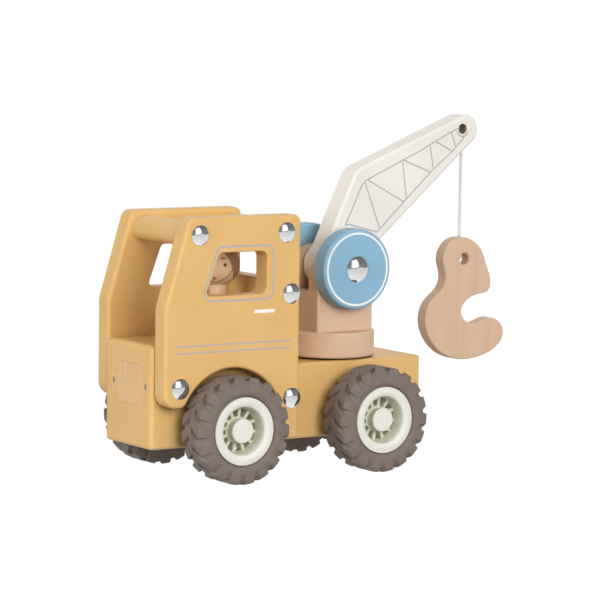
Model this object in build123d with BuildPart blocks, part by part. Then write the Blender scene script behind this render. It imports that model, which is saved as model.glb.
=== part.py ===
from build123d import *
from math import asin, atan2, cos, degrees, hypot, radians, sin
import os

# Toy crane truck, in millimetres. +X is forward, +Y is the truck's left and +Z is up.
# The origin is on the ground, under the middle of the bounding box.

os.makedirs("parts", exist_ok=True)

# ---------------------------------------------------------------- driving dimensions
# wheels and axles
tyre_radius = 30.0
tyre_half_width = 10.6
tread_half_width = 9.6
tread_depth = 1.8
lug_count = 18
lug_gap = 4.2
lug_skew = 33.0
lug_phase = -5.1
rim_radius = 19.1
barrel_radius = 17.5
recess_radius = 13.4
web_face_y = 1.4
web_back_y = -4.0
cap_radius = 6.85
spoke_count = 12
spoke_phase = 23.5
axle_radius = 2.5
running_gap = 0.05
press_gap = 0.02
wheelbase = 94.5
rear_axle_x = -8.8
front_axle_x = rear_axle_x + wheelbase
axle_z = tyre_radius
wheel_y = 42.6

# chassis and cab
board = 12.0
chassis_width = 50.0
half_width = chassis_width / 2
chassis_rear_x = -52.6
front_x = 128.4
block_front_x = 129.8
chassis_bottom_z = 18.7
deck_z = 62.0
hood_z = 76.7
hood_length = 33.0
block_x = front_x - hood_length
cab_rear_x = 40.0
roof_z = 147.7
roof_front_x = 113.4
knee_z = 98.0
lobe_z = 42.8
leg_z = 21.3
arch_x = front_axle_x - 1.5
arch_radius = 33.2
panel_round = 2.0
window_sill_z = 103.9
window_head_z = 127.9
window_rear_x = 62.5
window_front_sill_x = 102.6
window_front_head_x = 93.6
wall_top_z = 110.5
bar_radius = 6.9
bar_z = 137.9
front_bar_x = 106.6
rear_bar_x = 49.8

# dome-headed screws
screw_radius = 2.5
screw_length = 24.0
screw_head_radius = 5.7
screw_head_height = 2.4
screw_places = [
    (front_bar_x, bar_z),
    (rear_bar_x, bar_z),
    (46.2, 103.5),
    (118.5, 53.8),
    (45.1, 44.5),
]

# driver
driver_x = 71.9
head_radius = 12.5
head_z = 118.0
neck_radius = 5.0
neck_top_z = 109.0
peg_radius = 4.0
peg_depth = 10.0

# turret
slew_x = -3.9
washer_thickness = 0.8
turntable_radius = 27.1
turntable_thickness = 15.0
turntable_z = deck_z + washer_thickness
post_z = turntable_z + turntable_thickness
post_length = 38.4
post_width = 36.0
post_top_z = 126.0
slot_width = 16.6
slot_floor_z = 100.8
bolt_radius = 3.0
bolt_head_radius = 7.0
bolt_head_height = 4.0
bolt_bottom_z = 40.0

# boom
pivot_x = slew_x
pivot_z = 114.4
pivot_radius = 4.0
boom_thickness = 15.0
foot_radius = 13.2
elbow = (-17.9, 170.0)
elbow_round = 10.0
front_shoulder = (4.2, 124.0)
rear_shoulder = (-15.0, 111.3)
under_edge = (-37.1, 130.2)
tip_centre = (-96.0, 191.9)
tip_radius = 8.6
tip_hole = (-93.25, 192.4)
tip_hole_radius = 3.0
tilt_wheel_radius = 23.1
tilt_wheel_thickness = 11.0
tilt_wheel_y = post_width / 2 + 0.5
dome_radius = 7.5
dome_height = 3.2

# string and hook
string_radius = 1.0
string_x = -98.1
string_top_z = 183.3
string_bottom_z = 127.6
string_hole_radius = 1.6
knot_radius = 1.8
hook_thickness = 8.5
hook_top_z = 127.7
hook_hole_x = -99.4
hook_hole_z = 114.6
hook_hole_radius = 3.4

# The hook's outline, as distances behind the string and below the hook's top.
hook_outline = [
    (0.0, 0.0), (8.1, -2.7), (13.9, -8.1), (17.8, -17.1), (21.0, -25.9),
    (19.9, -32.1), (12.4, -34.5), (3.6, -37.8), (-0.4, -43.8), (3.1, -50.3),
    (9.8, -52.0), (20.2, -49.1), (28.6, -52.2), (31.4, -58.9), (26.9, -66.3),
    (15.0, -71.7), (0.0, -73.2), (-12.4, -69.8), (-23.3, -59.9), (-27.1, -47.2),
    (-23.3, -37.6), (-14.3, -29.2), (-12.5, -22.8), (-14.7, -12.7), (-10.1, -3.2),
]


# ---------------------------------------------------------------- helpers
def write(piece, name):
    """Label a finished piece and write its STEP file."""
    piece.part.label = name
    export_step(piece.part, f"parts/{name}.step")


def side_plane(y):
    """A plane facing -Y at this y, whose sketches use world X and Z."""
    return Plane.XZ.offset(-y)


def corner(sketch, x, z):
    """The corner of a sketch nearest to a point."""
    return sketch.vertices().sort_by_distance((x, z, 0))[0]


def outward(x, y, z, side):
    """A place on one side of the truck; side -1 turns the piece to face right."""
    return Location((x, side * y, z), (0, 0, 0 if side > 0 else 180))


def tangent_point(start, centre, radius, turn):
    """Where a line from start touches a circle, on its left (turn 1) or right (turn -1) side."""
    across = centre[0] - start[0], centre[1] - start[1]
    distance = hypot(*across)
    bearing = atan2(across[1], across[0]) + turn * asin(radius / distance)
    reach = (distance**2 - radius**2) ** 0.5
    return start[0] + reach * cos(bearing), start[1] + reach * sin(bearing)


def revolved_about_y(outline):
    """A turned piece: its outline holds radius and distance along +Y."""
    with BuildPart() as turned:
        with BuildSketch(Plane.XY):
            with BuildLine():
                Polyline(*outline, close=True)
            make_face()
        revolve(axis=Axis.Y)
    return turned


# ---------------------------------------------------------------- chassis
with BuildPart() as chassis:
    with BuildSketch(Plane.XY.offset(chassis_bottom_z)):
        with Locations(((chassis_rear_x + block_x) / 2, 0)):
            Rectangle(block_x - chassis_rear_x, chassis_width)
    extrude(amount=deck_z - chassis_bottom_z)
    fillet(chassis.edges().filter_by(Axis.Z).group_by(Axis.X)[0], radius=1.8)
    long_edges = chassis.faces().filter_by(Axis.Z).edges() - chassis.faces().sort_by(Axis.X)[-1].edges()
    fillet(long_edges, radius=1.6)
    with BuildSketch(side_plane(half_width)):
        with Locations((rear_axle_x, axle_z), (front_axle_x, axle_z)):
            Circle(axle_radius + running_gap)
    extrude(amount=chassis_width, mode=Mode.SUBTRACT)
    with BuildSketch(Plane.XY.offset(deck_z)):
        with Locations((slew_x, 0)):
            Circle(bolt_radius)
    extrude(amount=bolt_bottom_z - deck_z, mode=Mode.SUBTRACT)
    with BuildSketch(Plane.XY.offset(deck_z)):
        with Locations((driver_x, 0)):
            Circle(peg_radius + press_gap)
    extrude(amount=-peg_depth, mode=Mode.SUBTRACT)
    with BuildSketch(Plane.YZ.offset(block_x)):
        with Locations((-12.0, 45.0), (12.0, 45.0)):
            Circle(4.0 + press_gap)
    extrude(amount=-15.0, mode=Mode.SUBTRACT)
    with Locations(*[outward(45.1, half_width, 44.5, side) for side in (1, -1)]):
        Cylinder(
            screw_radius + running_gap,
            2 * (screw_length - board),
            rotation=(90, 0, 0),
            mode=Mode.SUBTRACT,
        )
write(chassis, "chassis")

with BuildPart() as front_block:
    with BuildSketch(Plane.XY.offset(chassis_bottom_z)):
        with Locations(((block_x + block_front_x) / 2, 0)):
            Rectangle(block_front_x - block_x, chassis_width)
    extrude(amount=hood_z - chassis_bottom_z)
    fillet(front_block.edges().filter_by(Axis.Z).group_by(Axis.X)[-1], radius=2.5)
    fillet(front_block.faces().sort_by(Axis.Z)[-1].edges(), radius=4.0)
    bottom_edges = front_block.faces().sort_by(Axis.Z)[0].edges()
    fillet(bottom_edges - front_block.faces().sort_by(Axis.X)[0].edges(), radius=2.0)
    with BuildSketch(Plane.YZ.offset(block_x)):
        with Locations((-12.0, 45.0), (12.0, 45.0)):
            Circle(4.0 + press_gap)
    extrude(amount=15.0, mode=Mode.SUBTRACT)
    with Locations(*[outward(118.5, half_width, 53.8, side) for side in (1, -1)]):
        Cylinder(
            screw_radius + running_gap,
            2 * (screw_length - board),
            rotation=(90, 0, 0),
            mode=Mode.SUBTRACT,
        )
write(front_block, "front_block")

with BuildPart() as block_dowels:
    with BuildSketch(Plane.YZ.offset(block_x - 14.5)):
        with Locations((-12.0, 45.0), (12.0, 45.0)):
            Circle(4.0)
    extrude(amount=29.0)
write(block_dowels, "block_dowels")

# ---------------------------------------------------------------- cab
for side, panel_name in ((1, "left_panel"), (-1, "right_panel")):
    outer_y = half_width + board if side > 0 else -half_width
    with BuildPart() as panel:
        with BuildSketch(side_plane(outer_y)) as panel_face:
            with BuildLine():
                Polyline(
                    (front_x, lobe_z),
                    (front_x, knee_z),
                    (roof_front_x, roof_z),
                    (cab_rear_x, roof_z),
                    (cab_rear_x, leg_z),
                    (arch_x, leg_z),
                    (arch_x, lobe_z),
                    close=True,
                )
            make_face()
            with Locations((arch_x, axle_z)):
                Circle(arch_radius, mode=Mode.SUBTRACT)
            fillet(corner(panel_face, front_x, knee_z), radius=14.0)
            fillet(corner(panel_face, roof_front_x, roof_z), radius=5.0)
            fillet(corner(panel_face, cab_rear_x, roof_z), radius=4.5)
            fillet(corner(panel_face, front_x, lobe_z), radius=8.0)
            fillet(corner(panel_face, arch_x + arch_radius, lobe_z), radius=5.0)
            fillet(corner(panel_face, cab_rear_x, leg_z), radius=3.0)
            fillet(corner(panel_face, arch_x - arch_radius, leg_z), radius=3.0)
        extrude(amount=board)
        for flat in (panel.faces().sort_by(Axis.Y)[0], panel.faces().sort_by(Axis.Y)[-1]):
            fillet(flat.outer_wire().edges(), radius=panel_round)
        with BuildSketch(side_plane(outer_y)) as window:
            with BuildLine():
                Polyline(
                    (window_rear_x, window_sill_z),
                    (window_rear_x, window_head_z),
                    (window_front_head_x, window_head_z),
                    (window_front_sill_x, window_sill_z),
                    close=True,
                )
            make_face()
            fillet(window.vertices().group_by(Axis.X)[0], radius=4.0)
            fillet(corner(window, window_front_head_x, window_head_z), radius=3.0)
            fillet(corner(window, window_front_sill_x, window_sill_z), radius=2.5)
        extrude(amount=board, mode=Mode.SUBTRACT)
        for flat in (panel.faces().sort_by(Axis.Y)[0], panel.faces().sort_by(Axis.Y)[-1]):
            fillet(flat.inner_wires()[0].edges(), radius=0.8)
        with BuildSketch(side_plane(outer_y)):
            with Locations(*screw_places):
                Circle(screw_radius + running_gap)
        extrude(amount=board, mode=Mode.SUBTRACT)
    write(panel, panel_name)

for bar_x, bar_name in ((front_bar_x, "front_roof_bar"), (rear_bar_x, "rear_roof_bar")):
    with BuildPart() as bar:
        with BuildSketch(side_plane(half_width)):
            with Locations((bar_x, bar_z)):
                Circle(bar_radius)
        extrude(amount=chassis_width)
        with Locations(*[outward(bar_x, half_width, bar_z, side) for side in (1, -1)]):
            Cylinder(
                screw_radius + running_gap,
                2 * (screw_length - board),
                rotation=(90, 0, 0),
                mode=Mode.SUBTRACT,
            )
    write(bar, bar_name)

with BuildPart() as cab_rear_wall:
    with BuildSketch(Plane.XY.offset(deck_z)):
        with Locations((cab_rear_x + board / 2, 0)):
            Rectangle(board, chassis_width)
    extrude(amount=wall_top_z - deck_z)
    fillet(cab_rear_wall.faces().sort_by(Axis.Z)[-1].edges().filter_by(Axis.Y), radius=1.5)
    with Locations(*[outward(46.2, half_width, 103.5, side) for side in (1, -1)]):
        Cylinder(
            screw_radius + running_gap,
            2 * (screw_length - board),
            rotation=(90, 0, 0),
            mode=Mode.SUBTRACT,
        )
write(cab_rear_wall, "cab_rear_wall")

with BuildPart() as screw:
    with BuildSketch(Plane.XY):
        with BuildLine():
            ThreePointArc(
                (0, screw_head_height),
                (screw_head_radius * 0.62, screw_head_height * 0.78),
                (screw_head_radius, 0.5),
            )
            Polyline(
                (screw_head_radius, 0.5),
                (screw_head_radius, 0),
                (screw_radius, 0),
                (screw_radius, -screw_length),
                (0, -screw_length),
                (0, screw_head_height),
            )
        make_face()
    revolve(axis=Axis.Y)

with BuildPart() as panel_screws:
    for x, z in screw_places:
        with Locations(*[outward(x, half_width + board, z, side) for side in (1, -1)]):
            add(screw.part)
write(panel_screws, "panel_screws")

# ---------------------------------------------------------------- driver
with BuildPart() as driver_body:
    with BuildSketch(Plane.XZ):
        with BuildLine():
            Polyline(
                (0, deck_z - peg_depth),
                (peg_radius, deck_z - peg_depth),
                (peg_radius, deck_z),
                (11.0, deck_z),
                (11.0, 84.0),
            )
            Spline(
                (11.0, 84.0),
                (8.6, 94.5),
                (neck_radius, 100.0),
                tangents=[(0, 1), (-0.2, 1)],
            )
            Polyline(
                (neck_radius, 100.0),
                (neck_radius, neck_top_z),
                (0, neck_top_z),
                (0, deck_z - peg_depth),
            )
        make_face()
    revolve(axis=Axis.Z)

with BuildPart() as driver_body_placed:
    with Locations((driver_x, 0, 0)):
        add(driver_body.part)
write(driver_body_placed, "driver_body")

with BuildPart() as driver_head:
    with Locations((driver_x, 0, head_z)):
        Sphere(head_radius)
    with BuildSketch(Plane.XY.offset(neck_top_z)):
        with Locations((driver_x, 0)):
            Circle(neck_radius + press_gap)
    extrude(amount=-10.0, mode=Mode.SUBTRACT)
write(driver_head, "driver_head")

# ---------------------------------------------------------------- turret
with BuildPart() as turntable_washer:
    with BuildSketch(Plane.XY.offset(deck_z)):
        with Locations((slew_x, 0)):
            Circle(11.0)
            Circle(bolt_radius + running_gap, mode=Mode.SUBTRACT)
    extrude(amount=washer_thickness - running_gap)
write(turntable_washer, "turntable_washer")

recess_floor_z = post_z - bolt_head_height - 1.0
with BuildPart() as slew_bolt:
    with BuildSketch(Plane.XY.offset(bolt_bottom_z)):
        with Locations((slew_x, 0)):
            Circle(bolt_radius)
    extrude(amount=recess_floor_z + running_gap - bolt_bottom_z)
    with BuildSketch(Plane.XY.offset(recess_floor_z + running_gap)):
        with Locations((slew_x, 0)):
            Circle(bolt_head_radius)
    extrude(amount=bolt_head_height)
write(slew_bolt, "slew_bolt")

with BuildPart() as turntable:
    with BuildSketch(Plane.XY.offset(turntable_z)):
        with Locations((slew_x, 0)):
            Circle(turntable_radius)
            Circle(bolt_radius + running_gap, mode=Mode.SUBTRACT)
    extrude(amount=turntable_thickness)
    for flat in (turntable.faces().sort_by(Axis.Z)[0], turntable.faces().sort_by(Axis.Z)[-1]):
        fillet(flat.outer_wire().edges(), radius=1.5)
    with BuildSketch(Plane.XY.offset(post_z)):
        with Locations((slew_x, 0)):
            Circle(bolt_head_radius + 1.0)
    extrude(amount=recess_floor_z - post_z, mode=Mode.SUBTRACT)
write(turntable, "turntable")

with BuildPart() as post:
    post_round = post_length / 2
    with BuildSketch(side_plane(post_width / 2)):
        with Locations((slew_x, post_top_z - post_round)):
            Circle(post_round)
        with Locations((slew_x, (post_z + post_top_z - post_round) / 2)):
            Rectangle(post_length, post_top_z - post_round - post_z)
    extrude(amount=post_width)
    for flat in (post.faces().sort_by(Axis.Y)[0], post.faces().sort_by(Axis.Y)[-1]):
        rims = flat.edges() - post.faces().sort_by(Axis.Z)[0].edges()
        fillet(rims, radius=1.5)
    with BuildSketch(Plane.YZ.offset(slew_x)):
        with Locations((0, slot_floor_z + 20.0)):
            Rectangle(slot_width, 40.0)
    extrude(amount=post_length, both=True, mode=Mode.SUBTRACT)
    with BuildSketch(side_plane(post_width / 2)):
        with Locations((pivot_x, pivot_z)):
            Circle(pivot_radius + running_gap)
    extrude(amount=post_width, mode=Mode.SUBTRACT)
write(post, "post")

# ---------------------------------------------------------------- boom
tip_top = tangent_point(elbow, tip_centre, tip_radius, -1)
tip_under = tangent_point(under_edge, tip_centre, tip_radius, 1)
string_exit = (string_x, string_top_z)
bore_tilt = degrees(atan2(tip_hole[0] - string_x, tip_hole[1] - string_top_z))
bore_plane = Plane(
    origin=(string_x, 0, string_top_z),
    x_dir=(0, 1, 0),
    z_dir=(tip_hole[0] - string_x, 0, tip_hole[1] - string_top_z),
)
bore_length = hypot(tip_hole[0] - string_x, tip_hole[1] - string_top_z)

with BuildPart() as boom:
    with BuildSketch(side_plane(boom_thickness / 2)) as boom_face:
        with BuildLine():
            Polyline(
                front_shoulder,
                elbow,
                tip_top,
                tip_centre,
                tip_under,
                rear_shoulder,
                (pivot_x, pivot_z),
                close=True,
            )
        make_face()
        with Locations((pivot_x, pivot_z)):
            Circle(foot_radius)
        with Locations(tip_centre):
            Circle(tip_radius)
        fillet(corner(boom_face, *elbow), radius=elbow_round)
        fillet(corner(boom_face, 3.3, 125.7), radius=6.0)
        fillet(corner(boom_face, -16.6, 112.7), radius=6.0)
    extrude(amount=boom_thickness)
    for flat in (boom.faces().sort_by(Axis.Y)[0], boom.faces().sort_by(Axis.Y)[-1]):
        fillet(flat.outer_wire().edges(), radius=1.8)
    with BuildSketch(side_plane(boom_thickness / 2)):
        with Locations((pivot_x, pivot_z)):
            Circle(pivot_radius + press_gap)
        with Locations(tip_hole):
            Circle(tip_hole_radius)
    extrude(amount=boom_thickness, mode=Mode.SUBTRACT)
    with BuildSketch(bore_plane):
        Circle(string_hole_radius)
    extrude(amount=bore_length, mode=Mode.SUBTRACT)
    with BuildSketch(bore_plane.offset(-1.5)):
        Circle(4.6)
    with BuildSketch(bore_plane.offset(3.0)):
        Circle(string_hole_radius)
    loft(mode=Mode.SUBTRACT)
write(boom, "boom")

with BuildPart() as pivot_axle:
    with BuildSketch(side_plane(24.0)):
        with Locations((pivot_x, pivot_z)):
            Circle(pivot_radius)
    extrude(amount=48.0)
write(pivot_axle, "pivot_axle")

with BuildPart() as tilt_wheel:
    with BuildSketch(Plane.XZ):
        Circle(tilt_wheel_radius)
    extrude(amount=-tilt_wheel_thickness)
    fillet(tilt_wheel.edges(), radius=1.6)
    with BuildSketch(Plane.XZ):
        Circle(pivot_radius + press_gap)
    extrude(amount=-tilt_wheel_thickness, mode=Mode.SUBTRACT)

for side, wheel_name in ((1, "left_tilt_wheel"), (-1, "right_tilt_wheel")):
    with BuildPart() as placed_tilt_wheel:
        with Locations(outward(pivot_x, tilt_wheel_y, pivot_z, side)):
            add(tilt_wheel.part)
    write(placed_tilt_wheel, wheel_name)

with BuildPart() as dome:
    with BuildSketch(Plane.XY):
        with BuildLine():
            ThreePointArc(
                (0, dome_height),
                (dome_radius * 0.62, dome_height * 0.78),
                (dome_radius, 0.6),
            )
            Polyline(
                (dome_radius, 0.6),
                (dome_radius, 0),
                (3.0, 0),
                (3.0, -5.4),
                (0, -5.4),
                (0, dome_height),
            )
        make_face()
    revolve(axis=Axis.Y)

with BuildPart() as pivot_domes:
    dome_y = tilt_wheel_y + tilt_wheel_thickness
    with Locations(*[outward(pivot_x, dome_y, pivot_z, side) for side in (1, -1)]):
        add(dome.part)
write(pivot_domes, "pivot_domes")

# ---------------------------------------------------------------- string, knots and hook
with BuildPart() as string:
    with BuildSketch(Plane.XY.offset(string_bottom_z)):
        with Locations((string_x, 0)):
            Circle(string_radius)
    extrude(amount=string_top_z - string_bottom_z)
    with Locations((string_x, 0, string_bottom_z), (string_x, 0, string_top_z)):
        Sphere(string_radius)
write(string, "string")

with BuildPart() as boom_knot:
    with BuildSketch(bore_plane.offset(string_radius + 0.1)):
        Circle(string_radius)
    extrude(amount=bore_length - string_radius - 0.1)
    with Locations((tip_hole[0], 0, tip_hole[1])):
        Sphere(knot_radius)
write(boom_knot, "boom_knot")

with BuildPart() as hook_knot:
    with BuildSketch(Plane.XY.offset(hook_hole_z)):
        with Locations((string_x, 0)):
            Circle(string_radius)
    extrude(amount=string_bottom_z - string_radius - 0.1 - hook_hole_z)
    with Locations((string_x, 0, hook_hole_z + 0.8)):
        Sphere(knot_radius)
write(hook_knot, "hook_knot")

with BuildPart() as hook:
    with BuildSketch(side_plane(hook_thickness / 2)):
        with BuildLine():
            points = [(string_x - behind, hook_top_z + below) for behind, below in hook_outline]
            Spline(*points, periodic=True)
        make_face()
    extrude(amount=hook_thickness)
    for flat in (hook.faces().sort_by(Axis.Y)[0], hook.faces().sort_by(Axis.Y)[-1]):
        fillet(flat.outer_wire().edges(), radius=1.0)
    with BuildSketch(side_plane(hook_thickness / 2)):
        with Locations((hook_hole_x, hook_hole_z)):
            Circle(hook_hole_radius)
    extrude(amount=hook_thickness, mode=Mode.SUBTRACT)
    for flat in (hook.faces().sort_by(Axis.Y)[0], hook.faces().sort_by(Axis.Y)[-1]):
        chamfer(flat.inner_wires()[0].edges(), length=0.9)
    with BuildSketch(Plane.XY.offset(hook_hole_z)):
        with Locations((string_x, 0)):
            Circle(string_hole_radius)
    extrude(amount=hook_top_z + 2.0 - hook_hole_z, mode=Mode.SUBTRACT)
    with Locations((string_x, 0, hook_top_z)):
        Cone(string_hole_radius, 2.6, 3.0, mode=Mode.SUBTRACT)
write(hook, "hook")

# ---------------------------------------------------------------- wheels
tyre_outline = [
    (barrel_radius + press_gap, 7.1),
    (rim_radius + 0.1, 7.1),
    (rim_radius + 0.3, 9.4),
    (21.5, tyre_half_width),
    (25.0, tyre_half_width),
    (28.3, tyre_half_width - 0.4),
    (tyre_radius, tread_half_width - 0.4),
]
mirrored_outline = [(radius, -y) for radius, y in reversed(tyre_outline)]

with BuildPart() as tyre:
    with BuildSketch(Plane.XY) as tyre_section:
        with BuildLine():
            Polyline(*tyre_outline, *mirrored_outline, close=True)
        make_face()
        shoulders = tyre_section.vertices().group_by(Axis.X)[-1]
        fillet(shoulders, radius=0.8)
    revolve(axis=Axis.Y)
    groove_radius = tyre_radius - tread_depth
    groove_length = 14.0
    for half in (1, -1):
        skew = -half * radians(lug_skew)
        skewed = Plane(
            origin=(0, half * (groove_length / 2 * cos(skew) + 1.2), groove_radius),
            x_dir=(cos(skew), sin(skew), 0),
            z_dir=(0, 0, 1),
        )
        with BuildPart(skewed, mode=Mode.PRIVATE) as groove:
            Box(lug_gap, groove_length, 8.0, align=(Align.CENTER, Align.CENTER, Align.MIN))
        for turn in range(lug_count):
            angle = lug_phase + (turn + (0.0 if half > 0 else 0.5)) * 360.0 / lug_count
            add(groove.part.rotate(Axis.Y, angle), mode=Mode.SUBTRACT)

with BuildPart() as rim:
    with BuildSketch(Plane.XY):
        with BuildLine():
            Polyline(
                (rim_radius, 8.5),
                (rim_radius, 7.2),
                (barrel_radius, 7.2),
                (barrel_radius, -7.2),
                (rim_radius, -7.2),
                (rim_radius, -9.8),
                (14.6, -9.8),
                (12.4, web_back_y),
                (6.2, web_back_y),
                (5.6, -16.2),
                (axle_radius + press_gap, -16.2),
                (axle_radius + press_gap, 1.8),
                (4.5, 1.8),
                (4.5, 5.6),
                (5.4, 5.6),
                (6.2, web_face_y),
                (12.3, web_face_y),
                (recess_radius, 8.2),
            )
            Spline(
                (recess_radius, 8.2),
                (14.6, 9.5),
                (16.6, 9.9),
                (18.3, 9.6),
                (rim_radius, 8.5),
                tangents=[(0.2, 1), (0, -1)],
            )
        make_face()
    revolve(axis=Axis.Y)
    with BuildSketch(side_plane(web_face_y)):
        with PolarLocations(0, spoke_count, start_angle=spoke_phase):
            Polygon((7.4, -1.1), (12.1, -2.2), (12.1, 2.2), (7.4, 1.1), align=None)
    extrude(amount=web_face_y - web_back_y + 1.5, mode=Mode.SUBTRACT)

hub_cap_outline = [
    (0, 7.0),
    (axle_radius + press_gap, 7.0),
    (axle_radius + press_gap, 2.0),
    (4.4, 2.0),
    (4.4, 5.8),
    (cap_radius, 5.8),
    (cap_radius, 7.5),
    (cap_radius - 0.5, 8.0),
    (0, 8.2),
]
hub_cap = revolved_about_y(hub_cap_outline)

axle_washer_outline = [
    (axle_radius + press_gap, 0),
    (6.0, 0),
    (6.0, 1.0),
    (axle_radius + press_gap, 1.0),
]
axle_washer = revolved_about_y(axle_washer_outline)

for end, axle_x in (("front", front_axle_x), ("rear", rear_axle_x)):
    for side, hand in ((1, "left"), (-1, "right")):
        place = outward(axle_x, wheel_y, axle_z, side)
        with BuildPart() as placed_tyre:
            with Locations(place):
                add(tyre.part)
        write(placed_tyre, f"{end}_{hand}_tyre")
        with BuildPart() as placed_rim:
            with Locations(place):
                add(rim.part)
        write(placed_rim, f"{end}_{hand}_rim")
    with BuildPart() as hub_caps:
        with Locations(*[outward(axle_x, wheel_y, axle_z, side) for side in (1, -1)]):
            add(hub_cap.part)
    write(hub_caps, f"{end}_hub_caps")
    with BuildPart() as axle_washers:
        with Locations(*[outward(axle_x, half_width + 0.2, axle_z, side) for side in (1, -1)]):
            add(axle_washer.part)
    write(axle_washers, f"{end}_axle_washers")
    with BuildPart() as axle:
        with BuildSketch(side_plane(wheel_y + 6.9)):
            with Locations((axle_x, axle_z)):
                Circle(axle_radius)
        extrude(amount=2 * (wheel_y + 6.9))
    write(axle, f"{end}_axle")
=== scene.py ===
from math import cos, pi, radians, sin, tan

import bmesh
import bpy
from mathutils import Matrix, Vector


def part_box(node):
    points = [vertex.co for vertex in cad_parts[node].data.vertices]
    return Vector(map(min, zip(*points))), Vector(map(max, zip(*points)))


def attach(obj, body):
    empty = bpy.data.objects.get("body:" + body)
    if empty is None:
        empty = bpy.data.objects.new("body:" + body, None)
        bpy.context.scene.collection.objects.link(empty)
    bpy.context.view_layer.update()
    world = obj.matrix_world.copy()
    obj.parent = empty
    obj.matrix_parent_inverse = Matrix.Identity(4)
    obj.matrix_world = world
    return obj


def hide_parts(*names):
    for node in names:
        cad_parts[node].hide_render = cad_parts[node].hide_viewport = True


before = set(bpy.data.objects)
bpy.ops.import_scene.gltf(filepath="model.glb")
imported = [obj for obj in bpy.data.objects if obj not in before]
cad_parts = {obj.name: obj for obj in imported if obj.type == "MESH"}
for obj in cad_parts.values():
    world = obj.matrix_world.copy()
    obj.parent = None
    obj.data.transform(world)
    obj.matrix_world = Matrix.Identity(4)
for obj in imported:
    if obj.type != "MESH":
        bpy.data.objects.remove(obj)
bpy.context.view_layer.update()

MM = 0.001  # the CAD's unit in metres

# ---------------------------------------------------------------- where the CAD's parts are


def centre_of(node):
    """The middle of a CAD node's box."""
    low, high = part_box(node)
    return (low + high) / 2


# ---------------------------------------------------------------- materials


def linear(red, green, blue):
    """An sRGB colour, 0 to 255, as the linear colour a shader takes."""

    def channel(value):
        value = value / 255
        return value / 12.92 if value <= 0.04045 else ((value + 0.055) / 1.055) ** 2.4

    return channel(red), channel(green), channel(blue), 1.0


class Shader:
    """A material's node tree, with one Principled shader."""

    def __init__(self, name, **sockets):
        self.material = bpy.data.materials.new(name)
        self.material.use_nodes = True
        self.tree = self.material.node_tree
        self.tree.nodes.clear()
        self.surface = self.tree.nodes.new("ShaderNodeBsdfPrincipled")
        output = self.tree.nodes.new("ShaderNodeOutputMaterial")
        self.tree.links.new(self.surface.outputs["BSDF"], output.inputs["Surface"])
        for socket, value in sockets.items():
            self.surface.inputs[socket.replace("_", " ")].default_value = value

    def node(self, kind, inputs=None, **settings):
        made = self.tree.nodes.new(kind)
        for key, value in settings.items():
            setattr(made, key, value)
        for key, value in (inputs or {}).items():
            if isinstance(value, bpy.types.NodeSocket):
                self.tree.links.new(value, made.inputs[key])
            else:
                made.inputs[key].default_value = value
        return made

    def place(self, stretch=(1, 1, 1), turn=(0, 0, 0)):
        """Coordinates fixed to the object, in metres, stretched to give a grain its direction."""
        where = self.node("ShaderNodeTexCoord").outputs["Object"]
        return self.node(
            "ShaderNodeMapping", {"Vector": where, "Scale": stretch, "Rotation": turn}
        ).outputs["Vector"]

    def noise(self, where, scale, detail=4.0, roughness=0.55, distortion=0.0):
        return self.node(
            "ShaderNodeTexNoise",
            {
                "Vector": where,
                "Scale": scale,
                "Detail": detail,
                "Roughness": roughness,
                "Distortion": distortion,
            },
        ).outputs["Fac"]

    def ramp(self, value, *stops):
        """Maps a value through (position, colour) stops."""
        made = self.node("ShaderNodeValToRGB", {"Fac": value})
        stock = made.color_ramp.elements
        while len(stock) < len(stops):
            stock.new(0.5)
        for element, (position, colour) in zip(stock, stops):
            element.position = position
            element.color = colour
        return made.outputs["Color"]

    def levels(self, value, low, high, to_low=0.0, to_high=1.0):
        return self.node(
            "ShaderNodeMapRange",
            {
                "Value": value,
                "From Min": low,
                "From Max": high,
                "To Min": to_low,
                "To Max": to_high,
            },
        ).outputs["Result"]

    def maths(self, operation, first, second=0.5, clamp=False):
        return self.node(
            "ShaderNodeMath", {0: first, 1: second}, operation=operation, use_clamp=clamp
        ).outputs["Value"]

    def mix(self, factor, first, second, blend="MIX"):
        made = self.node("ShaderNodeMix", data_type="RGBA", blend_type=blend)
        for index, value in ((0, factor), (6, first), (7, second)):
            if isinstance(value, bpy.types.NodeSocket):
                self.tree.links.new(value, made.inputs[index])
            else:
                made.inputs[index].default_value = value
        return made.outputs[2]

    def darkened(self, colour, dark, reach, closed, open_air, most):
        """Paints shade into a colour in hollows, by ambient occlusion: fully where least light gets
        in, and not at all in the open.

        closed and open_air are the shares of open air, within this reach in metres, between
        which the darkening goes from most to nothing.
        """
        air = self.node("ShaderNodeAmbientOcclusion", {"Distance": reach}).outputs["AO"]
        return self.mix(self.levels(air, closed, open_air, most, 0.0), colour, dark)

    def set(self, socket, value):
        self.tree.links.new(value, self.surface.inputs[socket])

    def bump(self, height, strength, distance, below=None):
        inputs = {"Height": height, "Strength": strength, "Distance": distance}
        if below is not None:
            inputs["Normal"] = below
        return self.node("ShaderNodeBump", inputs).outputs["Normal"]


def grain_axes(along):
    """Stretches noise along one axis, which is the wood's grain."""
    return tuple(0.07 if axis == along else 1.0 for axis in "XYZ")


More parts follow.
